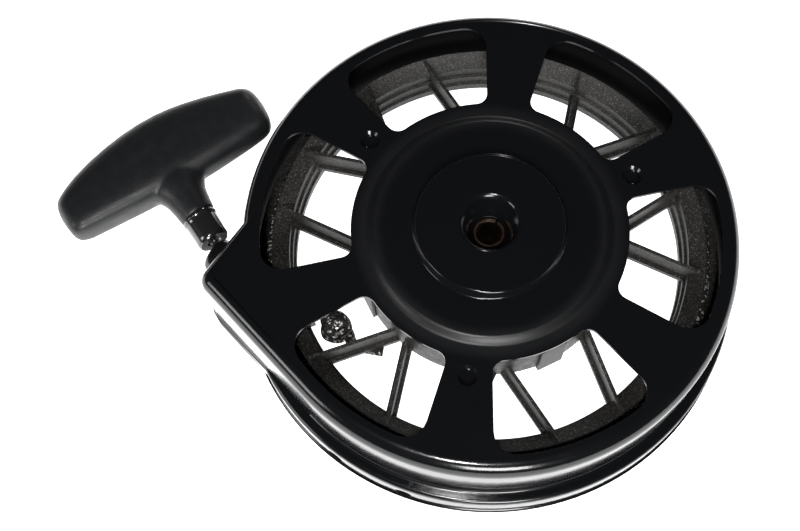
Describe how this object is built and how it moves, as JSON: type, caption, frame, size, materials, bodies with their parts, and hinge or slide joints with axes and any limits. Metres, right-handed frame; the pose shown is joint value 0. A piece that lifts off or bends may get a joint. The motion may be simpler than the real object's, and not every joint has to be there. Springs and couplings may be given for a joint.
{
  "type": "recoil starter",
  "caption": "Rewind starter with a round windowed stamped housing, a spoked rope pulley, cam-thrown dogs, a braided rope and a T-handle parked on the housing's ear.",
  "frame": {"origin": "on the pulley's axis, in the plane of the mounting lip's lower edge", "axes": "+Z along the pulley's axis towards the windowed face; the rope leaves the ear towards -X and +Y at 126.3 degrees from +X"},
  "size_m": [0.2979, 0.218, 0.056],
  "materials": {
    "housing_enamel": "gloss black enamel on stamped steel",
    "grommet_plastic": "gloss black",
    "pin_steel": "bare steel with a brown film",
    "zinc_steel": "zinc plated",
    "pulley_plastic": "matte black, lightly textured",
    "keeper_steel": "satin black",
    "spring_steel": "oiled spring steel",
    "rope_braid": "black braid with pale flecks",
    "dog_steel": "yellow passivated",
    "retainer_steel": "zinc plated",
    "grip_plastic": "satin black",
    "ferrule_plastic": "gloss black"
  },
  "bodies": {
    "housing": {"housing_shell": "housing_enamel", "rope_grommet": "grommet_plastic", "center_pin": "pin_steel", "pin_washer": "zinc_steel", "hub_washer": "zinc_steel", "rope_run": "rope_braid"},
    "pulley": {"pulley": "pulley_plastic", "spring_keeper": "keeper_steel", "rewind_spring": "spring_steel", "rope_winding": "rope_braid", "rope_knot": "rope_braid", "dog_spring_1": "spring_steel", "dog_spring_2": "spring_steel"},
    "retainer": {"retainer": "retainer_steel", "brake_spring": "spring_steel"},
    "dog_1": {"starter_dog_1": "dog_steel"},
    "dog_2": {"starter_dog_2": "dog_steel"},
    "handle": {"handle_grip": "grip_plastic", "handle_ferrule": "ferrule_plastic", "handle_insert": "zinc_steel", "rope_lead": "rope_braid", "rope_handle_knot": "rope_braid"}
  },
  "joints": [
    {"name": "pulley_spin", "type": "hinge", "parent": "housing", "child": "pulley", "pos_m": [0, 0, 0.028], "axis": [0, 0, -1], "range_deg": [0, 950], "stiffness_Nm_per_rad": 0.04, "springref_deg": -1145.92, "deforming": ["rewind_spring", "rope_run", "rope_winding"]},
    {"name": "handle_pull", "type": "slide", "parent": "housing", "child": "handle", "axis": [-0.592, 0.8059, 0], "range_m": [0, 1.51], "deforming": ["rope_lead"]},
    {"name": "retainer_turn", "type": "hinge", "parent": "pulley", "child": "retainer", "pos_m": [0, 0, 0.017], "axis": [0, 0, 1], "range_deg": [0, 35]},
    {"name": "dog_1_pivot", "type": "hinge", "parent": "pulley", "child": "dog_1", "pos_m": [0.03007, -0.01094, 0.0216], "axis": [0, 0, 1], "range_deg": [0, 40], "stiffness_Nm_per_rad": 0.004, "springref_deg": -34.38, "deforming": ["dog_spring_1"]},
    {"name": "dog_2_pivot", "type": "hinge", "parent": "pulley", "child": "dog_2", "pos_m": [-0.03007, 0.01094, 0.0216], "axis": [0, 0, 1], "range_deg": [0, 40], "stiffness_Nm_per_rad": 0.004, "springref_deg": -34.38, "deforming": ["dog_spring_2"]}
  ],
  "couplings": [
    {"joint": "handle_pull", "follows": "pulley_spin", "m_per_rad": 0.091},
    {"joint": "dog_1_pivot", "follows": "retainer_turn", "ratio": 1.1428},
    {"joint": "dog_2_pivot", "follows": "retainer_turn", "ratio": 1.1428}
  ]
}
